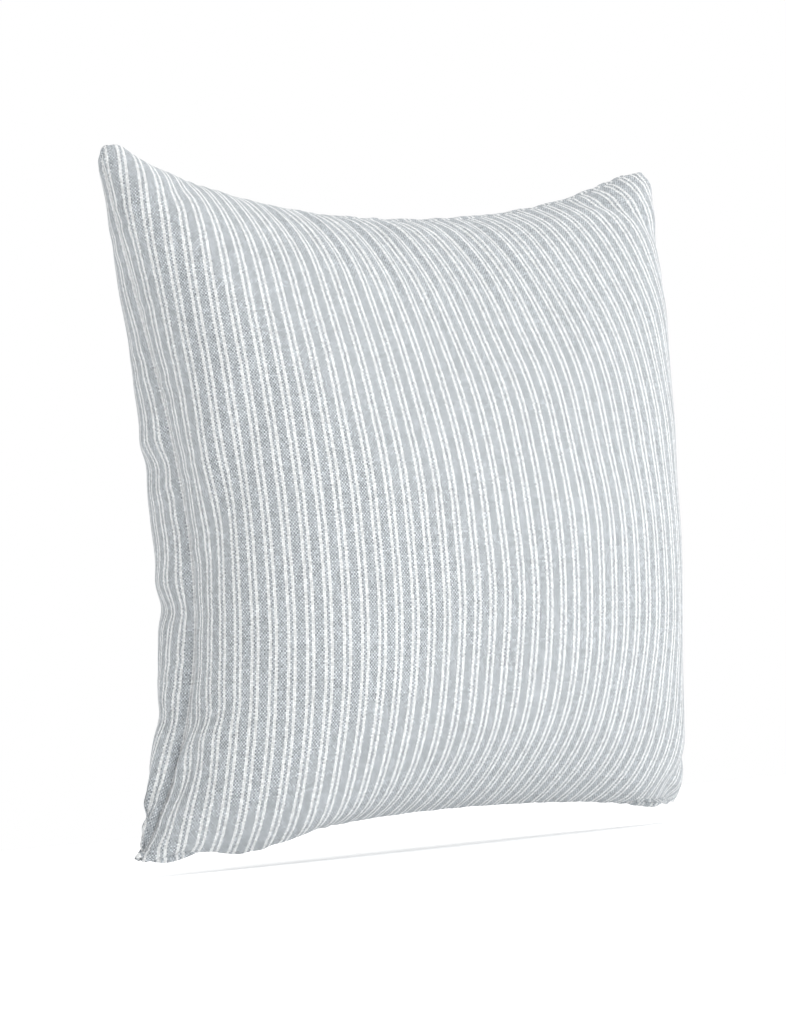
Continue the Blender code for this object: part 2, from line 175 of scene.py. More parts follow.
def middle(i, j):
    """The surface midway between the panels: a Coons patch inside the four seams."""
    a, b = (i[..., None] + 1) / 2, (j[..., None] + 1) / 2
    low_left, low_right, high_left, high_right = (CORNERS[k] for k in ((-1, -1), (1, -1), (-1, 1), (1, 1)))
    side, other = bow(j, LEFT_POWER, LEFT_SKEW), bow(j, RIGHT_POWER, RIGHT_SKEW)
    top = bow(i, TOP_POWER, TOP_SKEW)
    left = low_left * (1 - b) + high_left * b + points(LEFT_PULL * side, -LEFT_FORWARD * side, 0)
    right = low_right * (1 - b) + high_right * b + points(-RIGHT_PULL * other, -RIGHT_FORWARD * other, 0)
    high = high_left * (1 - a) + high_right * a + points(0, -TOP_FORWARD * top, -TOP_PULL * top)
    corners = (low_left * (1 - a) + low_right * a) * (1 - b) + (high_left * (1 - a) + high_right * a) * b
    return left * (1 - a) + right * a + bottom_seam(i) * (1 - b) + high * b - corners


def rounded(i, j):
    """Where a place of the square panel lies once its corners are rounded, in metres on the flat cloth."""
    a, b = PANEL * (1 - np.abs(i)), PANEL * (1 - np.abs(j))

    def along_edge(distance):
        angle = math.radians(270) - math.radians(45) * np.clip(1 - distance / CORNER, 0, 1)
        moved = distance < CORNER
        inward = np.where(moved, CORNER + CORNER * np.cos(angle) - distance, 0)
        return inward, np.where(moved, CORNER + CORNER * np.sin(angle), 0)

    fade_a, fade_b = (np.clip(1 - d / (3 * CORNER), 0, 1) ** 2 for d in (a, b))
    (ax, ay), (by, bx) = along_edge(a), along_edge(b)
    tip = CORNER * (1 - math.sqrt(0.5))
    x = a + ax * fade_b + bx * fade_a - tip * fade_a * fade_b
    y = b + ay * fade_b + by * fade_a - tip * fade_a * fade_b
    return np.sign(i) * (PANEL - x), np.sign(j) * (PANEL - y)


# The cloth solver: both panels are grids of points held at the seams


def pull_together(cloth, first, second, rest, compress, stretch, free):
    """Moves pairs of points towards their distance at rest."""
    gap = cloth[second] - cloth[first]
    length = np.sqrt((gap * gap).sum(-1, keepdims=True)) + 1e-12
    excess = length - rest
    stiffness = np.where(excess > 0, stretch, compress)
    a, b = free[first], free[second]
    move = gap * stiffness * excess / length / np.maximum(a + b, 1e-9)
    cloth[first] += move * a
    cloth[second] -= move * b


def pairs(count, i_step, j_step):
    """Slices that pair every point with its neighbour, in groups that share no point."""
    found = []
    for odd_i in (0, 1) if i_step else (None,):
        for odd_j in (0, 1) if j_step else (None,):
            first, second = [slice(None)], [slice(None)]
            for odd, step in ((odd_i, i_step), (odd_j, j_step)):
                if not step:
                    first.append(slice(None))
                    second.append(slice(None))
                    continue
                many = (count - odd) // 2
                one = slice(odd, odd + 2 * many - 1, 2)
                two = slice(odd + 1, odd + 2 * many, 2)
                first.append(one if step > 0 else two)
                second.append(two if step > 0 else one)
            found.append((tuple(first), tuple(second)))
    return found


def outward(cloth):
    """Each point's normal times its cell's area, pointing out of the pillow."""
    across = np.gradient(cloth, axis=1)
    up = np.gradient(cloth, axis=2)
    return np.cross(across, up) * np.array([1.0, -1.0])[:, None, None, None]


def grid(cells):
    places = np.linspace(-1, 1, cells + 1)
    return np.meshgrid(places, places, indexing="ij")


def inflate(cloth, cells, steps):
    """Lets the stuffing push both panels out until the cloth holds it."""
    i, j = grid(cells)
    flat = np.stack(rounded(i, j), -1)[None] * STRETCH
    mid = middle(flat[0, ..., 0] / (PANEL * STRETCH), flat[0, ..., 1] / (PANEL * STRETCH))
    free = np.ones((2, cells + 1, cells + 1, 1))
    rim = np.ones((cells + 1, cells + 1), bool)
    rim[1:-1, 1:-1] = False
    free[:, rim] = 0
    if cloth is None:
        crown = (np.clip(1 - np.abs(i) ** 2.4, 0, None) * np.clip(1 - np.abs(j) ** 2.4, 0, None)) ** 0.5
        cloth = np.stack([mid, mid])
        cloth[0, ..., 1] -= 0.1 * crown
        cloth[1, ..., 1] += 0.1 * crown
    cloth[:, rim] = mid[rim]
    rules = []
    for i_step, j_step, compress, stretch in CLOTH_THREADS:
        for first, second in pairs(cells + 1, i_step, j_step):
            rest = np.linalg.norm(flat[second] - flat[first], axis=-1, keepdims=True)
            rules.append((first, second, rest, compress, stretch))
    reach = np.array([STUFFING_FRONT, STUFFING_BACK])[:, None, None, None]
    push = PUSH * (CLOTH_CELLS[0] / cells) ** 2
    cell_area = (2 * PANEL * STRETCH / cells) ** 2
    speed = np.zeros_like(cloth)
    for _ in range(steps):
        height = np.abs(cloth[..., 1:2] - mid[None, ..., 1:2])
        level = cloth[..., 2:3] / HALF - 1
        force = np.maximum(1 - (height / (reach * (1 - STUFFING_SAG * level))) ** 2, -1)
        before = cloth.copy()
        cloth = cloth + (speed * DAMPING + outward(cloth) / cell_area * force * push) * free
        for rule in rules:
            pull_together(cloth, *rule, free)
        speed = cloth - before
    return cloth


def spline_weights(cells, places):
    """Catmull-Rom weights that read a grid of that many cells at places from -1 to 1."""
    at = (np.asarray(places) + 1) / 2 * cells
    start = np.clip(np.floor(at).astype(int), 0, cells - 1)
    t = at - start
    weights = np.zeros((len(at), cells + 1))
    rows = np.arange(len(at))
    four = (
        -0.5 * t + t**2 - 0.5 * t**3,
        1 - 2.5 * t**2 + 1.5 * t**3,
        0.5 * t + 2 * t**2 - 1.5 * t**3,
        -0.5 * t**2 + 0.5 * t**3,
    )
    for offset, weight in zip((-1, 0, 1, 2), four):
        index = start + offset
        inside = np.clip(index, 0, cells)
        np.add.at(weights, (rows, inside), weight)
        beyond = index != inside  # past an edge the grid runs on straight
        step_back = np.where(index < 0, 1, -1)
        np.add.at(weights, (rows[beyond], inside[beyond]), weight[beyond])
        np.add.at(weights, (rows[beyond], (inside + step_back)[beyond]), -weight[beyond])
    return weights


def resample(cloth, i_places, j_places):
    cells = cloth.shape[1] - 1
    across = spline_weights(cells, i_places)
    up = spline_weights(cells, j_places)
    return np.einsum("ai,pijc,bj->pabc", across, cloth, up, optimize=True)


def stuffed_cloth():
    cloth = None
    for cells, steps in zip(CLOTH_CELLS, CLOTH_STEPS):
        if cloth is not None:
            places = np.linspace(-1, 1, cells + 1)
            cloth = resample(cloth, places, places)
        cloth = inflate(cloth, cells, steps)
    return cloth


# Folds and puckers on the stuffed cloth


def waves(seed, count, shortest, longest):
    """A smooth random field over the flat cloth, about -1 to 1."""
    pick = np.random.default_rng(seed)
    parts = []
    for _ in range(count):
        length = pick.uniform(shortest, longest)
        angle = pick.uniform(0, math.pi)
        parts.append((math.cos(angle) / length, math.sin(angle) / length, pick.uniform(0, 1)))

    def field(x, z):
        total = sum(np.sin(math.tau * (a * x + b * z + phase)) for a, b, phase in parts)
        return total / math.sqrt(count)

    return field


# A fold's place, from the left and from the bottom of the flat panel, then its angle from upright in
# degrees, its length, its width and its height, which is negative for a dent
FOLDS = {
    "front": [
        (0.030, 0.110, 78, 0.045, 0.012, -0.0030),
        (0.026, 0.092, 70, 0.030, 0.010, 0.0020),
        (0.018, 0.070, 12, 0.022, 0.007, -0.0035),
        (0.040, 0.060, -30, 0.030, 0.010, -0.0022),
        (0.045, 0.285, 25, 0.060, 0.014, 0.0016),
        (0.060, 0.265, 25, 0.060, 0.012, -0.0014),
        (0.470, 0.455, -42, 0.040, 0.009, -0.0022),
        (0.452, 0.478, -55, 0.030, 0.007, -0.0016),
        (0.050, 0.462, 40, 0.040, 0.009, -0.0020),
        (0.460, 0.050, 40, 0.035, 0.010, -0.0022),
    ],
    "back": [
        (0.022, 0.300, 80, 0.030, 0.010, 0.0026),
        (0.022, 0.283, 80, 0.030, 0.009, -0.0024),
        (0.030, 0.185, 75, 0.036, 0.009, -0.0036),
        (0.026, 0.205, 80, 0.030, 0.010, 0.0024),
        (0.024, 0.110, 70, 0.034, 0.010, -0.0030),
        (0.024, 0.060, 40, 0.028, 0.008, -0.0026),
        (0.460, 0.060, 35, 0.035, 0.010, -0.0024),
        (0.450, 0.455, -40, 0.040, 0.010, -0.0024),
        (0.055, 0.460, 42, 0.040, 0.009, -0.0020),
    ],
}


def fold_height(side, x, z):
    total = np.zeros_like(x)
    for left, low, angle, length, width, height in FOLDS[side]:
        dx, dz = x + PANEL - left, z + PANEL - low
        turn = math.radians(angle)
        along = dz * math.cos(turn) + dx * math.sin(turn)
        across = dx * math.cos(turn) - dz * math.sin(turn)
        total += height * np.exp(-((along / length) ** 2) - (across / width) ** 2)
    return total


def edge_distance(i, j):
    """How far a place is from the nearest seam, on the flat cloth, and how far along the seam it lies."""
    a, b = PANEL * (1 - np.abs(i)), PANEL * (1 - np.abs(j))
    along = np.where(a < b, j * PANEL + 0.13 * np.sign(i), i * PANEL + 0.41 * np.sign(j))
    return np.minimum(a, b), along


def seam_distance(x, z):
    """How far a place is from the nearest seam, round the rounded corners."""
    a, b = PANEL - np.abs(x), PANEL - np.abs(z)
    straight = np.minimum(a, b)
    into_corner = CORNER - np.hypot(np.clip(CORNER - a, 0, None), np.clip(CORNER - b, 0, None))
    return np.clip(np.where((a < CORNER) & (b < CORNER), into_corner, straight), 0, None)


def fine_places(cells):
    """Places from -1 to 1, closer together near the seams."""
    even = np.linspace(-1, 1, cells + 1)
    return even + 0.45 * np.sin(math.pi * even) / math.pi


def corner_puff(side, i, j, away):
    """How far the stuffing rounds out the cloth beside each corner."""
    total = np.zeros_like(i)
    for (left, low), height in CORNER_PUFF[side].items():
        reach = PANEL * np.hypot(i - left, j - low)
        total += height * np.exp(-((reach / PUFF_REACH) ** 2))
    roundness = np.clip(away / PUFF_EDGE, 0, 1)
    return total * np.sqrt(1 - (1 - roundness) ** 2)


def panel_surface(cloth, side):
    """The fine surface of one panel, its flat places, and its grid places."""
    index = 0 if side == "front" else 1
    places = fine_places(FINE_CELLS)
    surface = resample(cloth, places, places)
    normal = outward(surface)
    normal /= np.linalg.norm(normal, axis=-1, keepdims=True)
    surface, normal = surface[index], normal[index]
    i, j = np.meshgrid(places, places, indexing="ij")
    x, z = rounded(i, j)
    away, along = edge_distance(i, j)
    # puckers stand across the seam and die out within a few centimetres
    phase = waves(11 + index, 7, 0.05, 0.2)(along, along * 0.3)
    strength = 0.6 + 0.4 * waves(17 + index, 6, 0.03, 0.16)(along, along * 0.2)
    pucker = np.sin(math.tau * along / PUCKER_PITCH + 2.2 * phase) * np.clip(strength, 0, None)
    lift = PUCKER_HEIGHT * pucker * np.exp(-away / 0.007) * smooth(away, 0, 0.0015)
    gather = np.sin(math.tau * along / GATHER_PITCH + 2.6 * phase)
    lift += GATHER_HEIGHT * gather * np.exp(-away / 0.022) * smooth(away, 0, 0.006)
    lift += UNDULATION * waves(23 + index, 12, 0.07, 0.2)(x, z) * smooth(away, 0, 0.04)
    lift += fold_height(side, x, z) * smooth(away, 0, 0.010)
    lift += corner_puff(side, i, j, seam_distance(x, z))
    surface = surface + normal * lift[..., None]
    # the seam is drawn in, so that both panels roll into it
    centre = np.array([0, 0, HALF])
    inward = centre - middle(x / PANEL, z / PANEL)
    inward[..., 1] = 0
    inward /= np.maximum(np.linalg.norm(inward, axis=-1, keepdims=True), 1e-6)
    surface += inward * (GROOVE_DEPTH * np.exp(-((away / GROOVE_WIDTH) ** 2)))[..., None]
    # the two lips keep apart, wider along the zip
    zip_share = smooth(SLIT_END - np.abs(surface[..., 0]), 0, SLIT_FADE) * (j < 0)
    low_edge = np.exp(-((PANEL * (1 + j)) / 0.012) ** 2)
    keep = SEAM_GAP + (SLIT_HALF - SEAM_GAP) * zip_share * low_edge
    sign = -1 if side == "front" else 1
    surface[..., 1] += sign * keep * np.exp(-away / 0.02)
    return surface, i, j, x, z


def sheet_mesh(name, surface, flat_x, flat_z, flip, hem=None):
    """A grid of quads with its flat places as a UV map; hem gives rows turned in past each seam."""
    rows, columns = surface.shape[:2]
    coords = [surface.reshape(-1, 3)]
    flats = [np.stack([flat_x, flat_z], -1).reshape(-1, 2)]
    index = np.arange(rows * columns).reshape(rows, columns)
    faces = [np.stack([index[:-1, :-1], index[1:, :-1], index[1:, 1:], index[:-1, 1:]], -1).reshape(-1, 4)]
    rim = np.concatenate([index[:-1, 0], index[-1, :-1], index[:0:-1, -1], index[0, :0:-1]])
    last = rim
    count = rows * columns
    for ring, ring_flat in hem or []:
        coords.append(ring)
        flats.append(ring_flat)
        fresh = np.arange(count, count + len(rim))
        count += len(rim)
        faces.append(np.stack([np.roll(last, -1), last, fresh, np.roll(fresh, -1)], -1))
        last = fresh
    coords, flats, faces = np.concatenate(coords), np.concatenate(flats), np.concatenate(faces)
    if flip:
        faces = faces[:, ::-1]
    mesh = bpy.data.meshes.new(name)
    mesh.from_pydata(coords.tolist(), [], faces.tolist())
    layer = mesh.uv_layers.new(name="flat")
    loops = np.empty(len(mesh.loops), int)
    mesh.loops.foreach_get("vertex_index", loops)
    layer.data.foreach_set("uv", flats[loops].astype(np.float32).ravel())
    mesh.shade_smooth()
    obj = bpy.data.objects.new(name, mesh)
    bpy.context.scene.collection.objects.link(obj)
    return obj


def way_in(i, j, depth):
    """Places at a depth below the seam beside each place of the panel, towards the stuffing."""
    reach = np.maximum(np.maximum(np.abs(i), np.abs(j)), 1e-6)
    x, z = rounded(i / reach, j / reach)
    seam = middle(x / PANEL, z / PANEL)
    centre = np.array([0, 0, HALF])
    way = centre + (seam - centre) * (0.7, 0, 0.7) - seam
    return seam + way / np.linalg.norm(way, axis=-1, keepdims=True) * depth


def rim_of(grid_values):
    """The values round a grid's rim, in the order that sheet_mesh joins a hem to."""
    g = grid_values
    return np.concatenate([g[:-1, 0], g[-1, :-1], g[:0:-1, -1], g[0, :0:-1]])


def seam_allowance(surface, i, j, flat_x, flat_z, side):
    """Rings that turn in past the seam and lie beside the other panel's."""
    sign = -1 if side == "front" else 1
    rim = rim_of(surface)
    flat = np.stack([rim_of(flat_x), rim_of(flat_z)], -1)
    rings = []
    for depth, apart in ((0.0007, 0.0), (0.0030, 0.0002), (0.0065, 0.0004), (ALLOWANCE, 0.0005)):
        ring = rim + rim_of(way_in(i, j, depth) - way_in(i, j, 0))
        ring[:, 1] += sign * apart
        rings.append((ring, flat * (1 + depth / PANEL)))
    return rings


class Net:
    """Builds a material's nodes. A value can be a number or another node's output."""

    def __init__(self, name, roughness, metallic=0.0, colour=(0.8, 0.8, 0.8)):
        self.material = bpy.data.materials.new(name)
        self.material.use_nodes = True
        self.nodes = self.material.node_tree.nodes
        self.links = self.material.node_tree.links
        self.shader = self.nodes["Principled BSDF"]
        self.shader.inputs["Roughness"].default_value = roughness
        self.shader.inputs["Metallic"].default_value = metallic
        self.shader.inputs["Base Color"].default_value = (*colour, 1)

    def feed(self, socket, value):
        if isinstance(value, bpy.types.NodeSocket):
            self.links.new(value, socket)
        elif isinstance(value, tuple) and len(socket.default_value) == 4:
            socket.default_value = (*value, 1)
        else:
            socket.default_value = value

    def math(self, operation, *values, clamp=False):
        node = self.nodes.new("ShaderNodeMath")
        node.operation = operation
        node.use_clamp = clamp
        for socket, value in zip(node.inputs, values):
            self.feed(socket, value)
        return node.outputs[0]

    def times(self, *values):
        total = values[0]
        for value in values[1:]:
            total = self.math("MULTIPLY", total, value)
        return total

    def plus(self, *values):
        total = values[0]
        for value in values[1:]:
            total = self.math("ADD", total, value)
        return total

    def vector(self, x, y, z=0.0):
        node = self.nodes.new("ShaderNodeCombineXYZ")
        for socket, value in zip(node.inputs, (x, y, z)):
            self.feed(socket, value)
        return node.outputs[0]

    def split(self, vector):
        node = self.nodes.new("ShaderNodeSeparateXYZ")
        self.feed(node.inputs[0], vector)
        return node.outputs[0], node.outputs[1], node.outputs[2]

    def flat_place(self):
        node = self.nodes.new("ShaderNodeUVMap")
        node.uv_map = "flat"
        return self.split(node.outputs[0])[:2]

    def object_place(self):
        return self.nodes.new("ShaderNodeTexCoord").outputs["Object"]

    def noise(self, vector, scale, detail=2.0, roughness=0.5):
        """Smooth noise about 0, to about 0.5 either way."""
        node = self.nodes.new("ShaderNodeTexNoise")
        self.feed(node.inputs["Vector"], vector)
        node.inputs["Scale"].default_value = scale
        node.inputs["Detail"].default_value = detail
        node.inputs["Roughness"].default_value = roughness
        return self.math("SUBTRACT", node.outputs[0], 0.5)

    def chance(self, x, y):
        """A random number from 0 to 1 for each whole x and y."""
        node = self.nodes.new("ShaderNodeTexWhiteNoise")
        node.noise_dimensions = "2D"
        self.feed(node.inputs["Vector"], self.vector(x, y))
        return node.outputs[0]

    def mix(self, share, first, second):
        node = self.nodes.new("ShaderNodeMix")
        node.data_type = "RGBA"
        self.feed(node.inputs[0], share)
        self.feed(node.inputs[6], first)
        self.feed(node.inputs[7], second)
        return node.outputs[2]

    def shade(self, colour, brightness):
        node = self.nodes.new("ShaderNodeVectorMath")
        node.operation = "SCALE"
        self.feed(node.inputs[0], colour)
        self.feed(node.inputs[3], brightness)
        return node.outputs[0]

    def bump(self, height, distance, strength=1.0):
        node = self.nodes.new("ShaderNodeBump")
        node.inputs["Strength"].default_value = strength
        node.inputs["Distance"].default_value = distance
        self.feed(node.inputs["Height"], height)
        self.links.new(node.outputs[0], self.shader.inputs["Normal"])

    def colour(self, value):
        self.links.new(value, self.shader.inputs["Base Color"])


def crown(net, position):
    """1 along a thread's middle and 0 at its edges, for a position counted in threads."""
    part = net.math("FRACT", position)
    off = net.math("MULTIPLY_ADD", part, 2.0, -1.0)
    return net.math("SUBTRACT", 1.0, net.times(off, off))


def plain_weave(net, across, up):
    """Whether a warp thread is on top, the weave's height, and the two threads' numbers."""
    warp, weft = net.math("FLOOR", across), net.math("FLOOR", up)
    half = net.times(net.plus(warp, weft), 0.5)
    odd = net.times(net.math("FRACT", half), 2.0)
    height = net.math("SQRT", net.times(crown(net, across), crown(net, up)))
    return odd, height, warp, weft


def striped_cloth(side):
    """A heathered grey cloth with pairs of white stripes, woven thread by thread."""
    net = Net("striped_cloth_" + side, 0.92)
    u, v = net.flat_place()
    place = net.vector(u, v)
    sway = net.plus(net.times(net.noise(place, 14, 1), 0.0012), net.times(net.noise(place, 210, 2), 0.0011))
    drift = net.plus(net.times(net.noise(place, 17, 1), 0.0015), net.times(net.noise(place, 290, 2), 0.0006))
    start = STRIPE_AT[side] - PANEL
    from_start = net.math("SUBTRACT", net.plus(u, sway), start)
    across = net.math("MULTIPLY_ADD", from_start, 1 / THREAD, WIDE_STRIPE / 2)
    up = net.times(net.plus(v, drift), 1 / PICK)
    warp_on_top, height, warp, weft = plain_weave(net, across, up)
    in_repeat = net.math("FLOORED_MODULO", warp, REPEAT)
    from_pair = net.math("ABSOLUTE", net.math("SUBTRACT", in_repeat, PAIR_MIDDLE))
    white = net.math("COMPARE", from_pair, 2.0, 0.9)
    # heather: each thread's shade changes along it, and each crossing a little
    warp_shade = net.noise(net.vector(net.times(warp, 3.7), net.times(v, 120)), 1.0, 3, 0.7)
    weft_shade = net.noise(net.vector(net.times(u, 120), net.times(weft, 3.7), 9.0), 1.0, 3, 0.7)
    speck = net.math("SUBTRACT", net.chance(warp, weft), 0.5)
    heather = net.plus(0.5, net.times(warp_shade, 2.2), net.times(speck, 0.5))
    warp_colour = net.mix(white, net.mix(heather, *GREY_WARP), WHITE_WARP)
    uneven = net.plus(1.0, net.times(weft_shade, 0.40), net.times(speck, 0.10))
    weft_colour = net.shade(net.mix(white, *WEFT), uneven)
    # the threads are finer than they are drawn, so neither hides the other where it is on top
    shown = net.math("MULTIPLY_ADD", warp_on_top, 0.42, 0.29)
    cloth = net.mix(shown, weft_colour, warp_colour)
    cloudy = net.noise(place, 26, 3, 0.6)
    # painted shade: the colour darkens where each thread's crown falls away, in the gaps between threads
    painted_gap_shade = net.math("MULTIPLY_ADD", height, 0.24, 0.81)
    wear = net.plus(0.94, net.times(cloudy, 0.14), net.times(speck, 0.30))
    net.colour(net.shade(cloth, net.times(painted_gap_shade, wear)))
    fuzz = net.noise(place, 2600, 3, 0.7)
    net.bump(net.plus(height, net.times(fuzz, 0.5), net.times(warp_shade, 0.5)), 0.00022, 0.9)
    net.shader.inputs["Sheen Weight"].default_value = 0.12
    net.shader.inputs["Sheen Roughness"].default_value = 0.5
    net.shader.inputs["Specular IOR Level"].default_value = 0.2
    return net.material


def insert_cloth():
    net = Net("insert_cloth", 0.9)
    u, v = net.flat_place()
    place = net.vector(u, v)
    top, height, _, _ = plain_weave(net, net.times(u, 2200.0), net.times(v, 2200.0))
    cloudy = net.noise(place, 30, 3)
    # the height term is painted shade in the gaps between threads; the other terms vary the cloth's own tone
    shade = net.plus(0.93, net.times(cloudy, 0.10), net.times(height, 0.08), net.times(top, 0.02))
    net.colour(net.shade(net.mix(0.5, (0.86, 0.86, 0.84), (0.88, 0.88, 0.87)), shade))
    net.bump(height, 0.0001, 0.6)
    return net.material


def fibre():
    net = Net("fibre", 1.0)
    place = net.object_place()
    tangle = net.noise(place, 240, 6, 0.75)
    net.colour(net.mix(net.plus(0.5, tangle), (0.80, 0.80, 0.79), (0.95, 0.95, 0.94)))
    net.bump(tangle, 0.0015)
    net.shader.inputs["Sheen Weight"].default_value = 0.4
    return net.material


def thread(name, colour):
    net = Net(name, 0.65)
    x, y, z = net.split(net.object_place())
    ply = net.math("SINE", net.times(net.plus(x, net.times(y, 2.0), z), 9000.0))
    # the darker half of each twist is painted shade in the grooves between the plies
    net.colour(net.mix(net.math("MULTIPLY_ADD", ply, 0.5, 0.5), tuple(c * 0.82 for c in colour), colour))
    net.bump(ply, 0.0001, 0.7)
    return net.material


def tape():
    """Zip tape: a fine herringbone of twisted polyester yarns."""
    net = Net("zip_tape", 0.8)
    u, v = net.flat_place()
    column = net.math("FLOOR", net.times(v, 1 / 0.0016))
    lean = net.math("MULTIPLY_ADD", net.math("FLOORED_MODULO", column, 2.0), 2.0, -1.0)
    rib = net.math("SINE", net.times(net.plus(u, net.times(v, lean)), math.tau / 0.0007))
    edge = net.noise(net.vector(u, v), 900, 2)
    # the rib term is painted shade in the grooves of the herringbone; the edge term is the yarns' own uneven
    # tone
    shade = net.plus(0.90, net.times(rib, 0.08), net.times(edge, 0.12))
    net.colour(net.shade(net.mix(0.5, (0.66, 0.70, 0.73), (0.68, 0.72, 0.74)), shade))
    net.bump(rib, 0.0001)
    return net.material


def label_cloth():
    net = Net("label_cloth", 0.5)
    u, v = net.flat_place()
    weave = net.math("SINE", net.times(net.plus(u, v), math.tau / 0.0005))
    # painted shade: the colour darkens along the grooves of the weave
    ribbed = net.plus(0.97, net.times(weave, 0.03))
    net.colour(net.shade(net.mix(0.5, (0.86, 0.86, 0.84), (0.88, 0.88, 0.86)), ribbed))
    net.bump(weave, 0.00005)
    return net.material


def nylon():
    net = Net("zip_coil", 0.35, colour=(0.76, 0.78, 0.80))
    place = net.object_place()
    net.colour(net.mix(net.plus(0.5, net.noise(place, 700, 2)), (0.70, 0.73, 0.75), (0.80, 0.82, 0.84)))
    net.shader.inputs["Coat Weight"].default_value = 0.2
    return net.material


def metal():
    """Die-cast zinc with a satin nickel plating."""
    net = Net("zip_metal", 0.3, 1.0, (0.55, 0.55, 0.56))
    place = net.object_place()
    cloudy = net.noise(place, 500, 4, 0.6)
    net.colour(net.mix(net.plus(0.5, cloudy), (0.48, 0.48, 0.49), (0.62, 0.61, 0.60)))
    wear = net.plus(0.30, net.times(cloudy, 0.25))
    net.links.new(wear, net.shader.inputs["Roughness"])
    net.bump(net.noise(place, 2500, 3), 0.00004, 0.6)
    return net.material


# The cover


def cover_panel(cloth, side):
    surface, i, j, x, z = panel_surface(cloth, side)
    hem = seam_allowance(surface, i, j, x, z, side)
    obj = sheet_mesh("pillow_cover_" + side, surface, x, z, side == "back", hem)
    obj.data.materials.append(striped_cloth(side))
    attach(obj, "cover")
    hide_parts(f"cover_{side}_panel")
    return surface


def insert_panel(cloth, side, material):
    """The insert's shell follows the cover from inside, down to its own seam."""
    sign = -1 if side == "front" else 1
    share = 1 - INSERT_MARGIN / PANEL
    places = fine_places(90)
    surface = resample(cloth, places * share, places * share)
    normal = outward(surface)
    normal /= np.linalg.norm(normal, axis=-1, keepdims=True)
    index = 0 if side == "front" else 1
    surface = surface[index]
    i, j = np.meshgrid(places * share, places * share, indexing="ij")
    x, z = rounded(i, j)
    away = np.minimum(1 - np.abs(i) / share, 1 - np.abs(j) / share) * PANEL
    plump = np.sqrt(np.clip(1 - (1 - np.clip(away / 0.030, 0, 1)) ** 2, 0, 1))
    surface = surface - normal[index] * (INSERT_GAP * (2 - plump))[..., None]
    rim = way_in(i, j, INSERT_DEPTH)
    surface = rim + (surface - rim) * plump[..., None]
    surface[..., 1] += sign * 0.0003 * (1 - plump)
    obj = sheet_mesh("insert_cloth_" + side, surface, x, z, side == "back")
    obj.data.materials.append(material)
    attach(obj, "cover")
    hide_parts("insert_shell_" + side)
    return surface


def stuffing(shells):
    """The fibre fill: a lumpy body under the insert's two shells."""
    clumps = waves(5, 26, 0.02, 0.07)
    front, back = (shell[::2, ::2] for shell in shells)
    between, half = (front + back) / 2, (front - back) / 2
    thickness = np.linalg.norm(half, axis=-1, keepdims=True)
    lumps = FILL_GAP + FILL_LUMPS * clumps(between[..., 0], between[..., 2])[..., None]
    keep = np.clip(1 - lumps / np.maximum(thickness, 1e-6), 0.1, 1)
    rim = np.ones(keep.shape[:2], bool)
    rim[1:-1, 1:-1] = False
    deeper = np.array([0, 0, HALF]) - between[rim]
    between[rim] += deeper / np.linalg.norm(deeper, axis=-1, keepdims=True) * 0.006
    half[rim] = 0
    bm = bmesh.new()
    edge = {}
    for sign in (1, -1):
        places = between + sign * half * keep
        rows = []
        for a, row in enumerate(places):
            line = []
            for b, place in enumerate(row):
                if rim[a, b] and (a, b) in edge:
                    line.append(edge[a, b])
                    continue
                line.append(bm.verts.new(place))
                if rim[a, b]:
                    edge[a, b] = line[-1]
            rows.append(line)
        for i in range(len(rows) - 1):
            for k in range(len(rows) - 1):
                quad = [rows[i][k], rows[i + 1][k], rows[i + 1][k + 1], rows[i][k + 1]]
                bm.faces.new(quad if sign > 0 else quad[::-1])
    bmesh.ops.recalc_face_normals(bm, faces=bm.faces)
    mesh = bpy.data.meshes.new("insert_stuffing")
    bm.to_mesh(mesh)
    bm.free()
    mesh.shade_smooth()
    obj = bpy.data.objects.new("insert_stuffing", mesh)
    bpy.context.scene.collection.objects.link(obj)
    mesh.materials.append(fibre())
    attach(obj, "cover")
    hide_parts("insert_fill")


# The zip


def on_arc(along, level, y=0.0):
    angle = along / ZIP_RADIUS
    reach = ZIP_RADIUS + level
    return ARC_CENTRE + Vector((reach * math.sin(angle), y, reach * math.cos(angle)))


def wire(name, places, radius, material, sides=1):
    curve = bpy.data.curves.new(name, "CURVE")
    curve.dimensions = "3D"
    curve.bevel_depth = radius
    curve.bevel_resolution = sides
    curve.use_fill_caps = True
    spline = curve.splines.new("POLY")
    spline.points.add(len(places) - 1)
    for point, place in zip(spline.points, places):
        point.co = (*place, 1)
    curve.materials.append(material)
    obj = bpy.data.objects.new(name, curve)
    bpy.context.scene.collection.objects.link(obj)
    return obj


def zip_coil(side, material):
    """A nylon filament wound flat, whose outer loops are its teeth."""
    sign = -1 if side == "front" else 1
    low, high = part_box("zip_coil_" + side)
    turn_points = 10
    end = ZIP_HALF - 0.006
    inner, outer = sorted((abs(low.y), abs(high.y)))
    mid_level, half_level = COIL_LEVEL + COIL_HEIGHT / 2, COIL_HEIGHT / 2 - COIL_WIRE
    mid_y, half_y = (inner + outer) / 2, (outer - inner) / 2 - COIL_WIRE
    count = int(2 * end / COIL_PITCH) * turn_points
    places = []
    for step in range(count + 1):
        angle = math.tau * step / turn_points
        y = sign * (mid_y - half_y * math.cos(angle))
        along = -end + COIL_PITCH * step / turn_points
        places.append(on_arc(along, mid_level + half_level * math.sin(angle), y))
    obj = wire("zip_teeth_" + side, places, COIL_WIRE, material)
    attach(obj, "cover")
    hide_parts("zip_coil_" + side)


